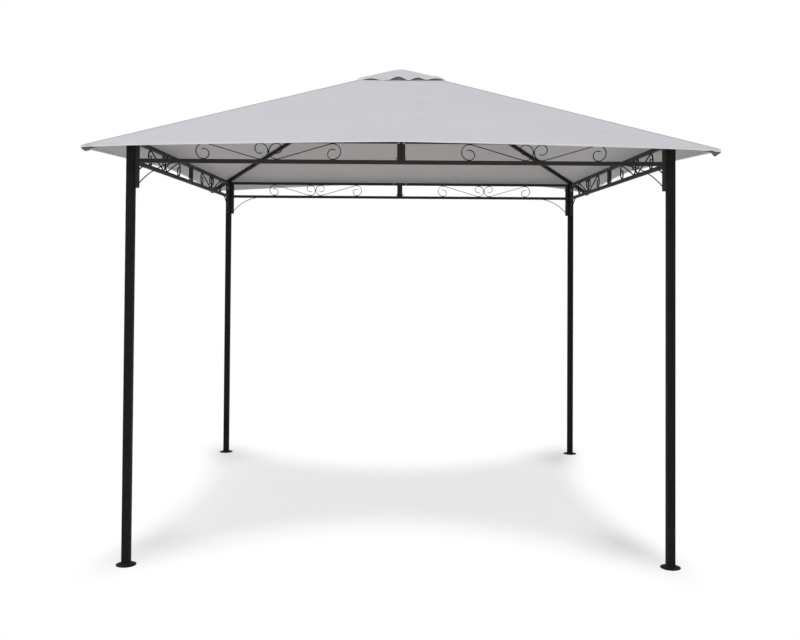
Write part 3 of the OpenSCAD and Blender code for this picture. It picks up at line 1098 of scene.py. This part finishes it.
def makeFootWeld():
    dropSelection()
    bpy.ops.mesh.primitive_plane_add(size=postW)
    seed = bpy.context.object
    bpy.ops.object.mode_set(mode="EDIT")
    bpy.context.tool_settings.mesh_select_mode = (True, False, False)
    bpy.ops.mesh.select_all(action="SELECT")
    bpy.ops.mesh.bevel(offset=footWeld["round"], segments=4, affect="VERTICES")
    bpy.ops.mesh.select_all(action="SELECT")
    bpy.ops.mesh.delete(type="ONLY_FACE")
    bpy.context.tool_settings.mesh_select_mode = (False, True, False)
    bpy.ops.mesh.select_all(action="SELECT")
    bpy.ops.mesh.subdivide(number_cuts=footWeld["cuts"])
    wide = (postW + 2 * footWeld["leg"]) / postW
    bpy.ops.mesh.extrude_edges_move()
    bpy.ops.transform.resize(value=(wide, wide, 1))
    bpy.ops.mesh.extrude_edges_move()
    half = (postW + footWeld["leg"]) / (postW + 2 * footWeld["leg"])
    bpy.ops.transform.resize(value=(half, half, 1))
    bpy.ops.transform.translate(value=(0, 0, footWeld["leg"] * footWeld["belly"]))
    bpy.ops.mesh.extrude_edges_move()
    bpy.ops.transform.resize(value=(postW / (postW + footWeld["leg"]),) * 2 + (1,))
    bpy.ops.transform.translate(value=(0, 0, footWeld["leg"] * (1 - footWeld["belly"])))
    closeMesh()
    for vert in seed.data.vertices:
        if vert.co.z > hair:
            ripple = math.sin(math.atan2(vert.co.y, vert.co.x) * footWeld["waves"])
            vert.co.z += footWeld["wobble"] * ripple
    outwards(seed)
    return seed


footSpots = [Matrix.Translation((x * halfSpan, y * halfSpan, footHigh.z)) for x in (-1, 1) for y in (-1, 1)]
setCopies(makeFootWeld(), footSpots, "foot_welds", coat["post"], 50)
print("plugs and foot welds done")


# camera at the photograph's place

view = {"place": Vector((-0.015, -5.94, 1.509)), "yaw": 0.15, "pitch": 1.226, "roll": 0.372,
        "focal": 932.0, "middleRow": 238.4, "frameW": 800, "frameH": 640, "sensor": 36.0, "far": 200}


def makeCamera():
    yaw, pitch, roll = (math.radians(view[key]) for key in ("yaw", "pitch", "roll"))
    forward = Vector((math.sin(yaw) * math.cos(pitch), math.cos(yaw) * math.cos(pitch), math.sin(pitch)))
    right = Vector((math.cos(yaw), -math.sin(yaw), 0))
    up = right.cross(forward)
    across = right * math.cos(roll) + up * math.sin(roll)
    upright = up * math.cos(roll) - right * math.sin(roll)
    lens = bpy.data.cameras.new("camera")
    lens.sensor_width = view["sensor"]
    lens.sensor_fit = "HORIZONTAL"
    lens.lens = view["focal"] / view["frameW"] * view["sensor"]
    lens.shift_y = (view["middleRow"] - view["frameH"] / 2) / view["frameW"]
    lens.clip_end = view["far"]
    camera = addObject("camera", lens)
    turn = Matrix((across, upright, -forward)).transposed().to_4x4()
    camera.matrix_world = Matrix.Translation(view["place"]) @ turn
    bpy.context.scene.camera = camera


makeCamera()


# pale floor, white surroundings and soft light

studio = {"floor": 0.90, "size": 80.0, "drop": 0.0005, "world": 0.53,
          "sun": 1.30, "sunAngle": 26.0, "sunLean": (4, -2),
          "key": 105.0, "keySize": 4.0,
          "keyPlace": Vector((-5.5, -6.5, 5.0)), "keyAim": Vector((0, -0.5, 2.0)),
          # painted shadow shape: where the floor shows its real shadow instead of plain white, and how deep;
          # its middle, fading edges, bow of the edges and shares
          "middle": (-0.045, 0.10), "shadeX": (1.10, 1.37), "shadeY": (0.32, 1.02), "bow": (0.10, 0.43),
          "shade": (0.34, 0.74), "corner": (1.6, 3.2), "bowEnd": 1.9}


def seenRays(tree):
    light = addNode(tree, "ShaderNodeLightPath")
    seen = mathNode(tree, "MAXIMUM", light.outputs["Is Camera Ray"], light.outputs["Is Glossy Ray"])
    return mathNode(tree, "MAXIMUM", seen, light.outputs["Is Transmission Ray"])


def blend(tree, share, first, second, target):
    mix = addNode(tree, "ShaderNodeMixShader")
    for source, socket in zip((share, first, second), mix.inputs):
        wire(tree, source, socket)
    wire(tree, mix.outputs[0], target)


def makeSurroundings():
    bpy.context.scene.view_settings.view_transform = "Standard"
    world = bpy.data.worlds.new("surroundings")
    world.use_nodes = True
    tree = world.node_tree
    tree.nodes.clear()
    lit = addNode(tree, "ShaderNodeBackground", {"Color": (1, 1, 1, 1), "Strength": studio["world"]})
    seen = addNode(tree, "ShaderNodeBackground", {"Color": (1, 1, 1, 1), "Strength": 1.0})
    end = addNode(tree, "ShaderNodeOutputWorld")
    blend(tree, seenRays(tree), lit.outputs[0], seen.outputs[0], end.inputs["Surface"])
    bpy.context.scene.world = world


def makeFloor():
    dropSelection()
    bpy.ops.mesh.primitive_plane_add(size=studio["size"], location=(0, 0, -studio["drop"]))
    floor = bpy.context.object
    floor.name = "floor"
    finish, tree, shader, place = startFinish("paleFloor", 0.9, 0.0)
    shader.inputs["Base Color"].default_value = (studio["floor"],) * 3 + (1,)
    glow = addNode(tree, "ShaderNodeEmission", {"Color": (1, 1, 1, 1), "Strength": 1.0})
    split = addNode(tree, "ShaderNodeSeparateXYZ")
    wire(tree, place, split.inputs[0])
    # painted shadow: the mask below sets the shape and depth of the floor's shadow, deeper towards the
    # corners; outside it the floor glows plain white to the camera
    away = [mathNode(tree, "SUBTRACT", split.outputs[axis], middle)
            for axis, middle in zip(("X", "Y"), studio["middle"])]
    square = [mathNode(tree, "MULTIPLY", value, value) for value in away]
    shades = []
    for axis, edges in enumerate((studio["shadeX"], studio["shadeY"])):
        limited = mathNode(tree, "MINIMUM", square[1 - axis], studio["bowEnd"])
        bow = mathNode(tree, "MULTIPLY", limited, studio["bow"][axis])
        edge = mathNode(tree, "SUBTRACT", mathNode(tree, "ABSOLUTE", away[axis]), bow)
        shades.append(softStep(tree, edge, *edges, 1.0, 0.0))
    depth = softStep(tree, mathNode(tree, "ADD", *square), *studio["corner"], *studio["shade"])
    paintedShadowMask = mathNode(tree, "MULTIPLY", mathNode(tree, "MULTIPLY", *shades), depth)
    white = mathNode(tree, "SUBTRACT", 1.0, paintedShadowMask)
    share = mathNode(tree, "MULTIPLY", seenRays(tree), white)
    end = tree.nodes["Material Output"]
    blend(tree, share, shader.outputs[0], glow.outputs[0], end.inputs["Surface"])
    floor.data.materials.append(finish)


def makeLamps():
    sun = bpy.data.lights.new("overhead", "SUN")
    sun.energy = studio["sun"]
    sun.angle = math.radians(studio["sunAngle"])
    lamp = addObject("overhead", sun)
    lamp.rotation_euler = (*(math.radians(lean) for lean in studio["sunLean"]), 0)
    soft = bpy.data.lights.new("key", "AREA")
    soft.energy = studio["key"]
    soft.size = studio["keySize"]
    panel = addObject("key", soft)
    panel.matrix_world = pointing(studio["keyPlace"], studio["keyPlace"] - studio["keyAim"])


makeSurroundings()
makeFloor()
makeLamps()
print("studio set")
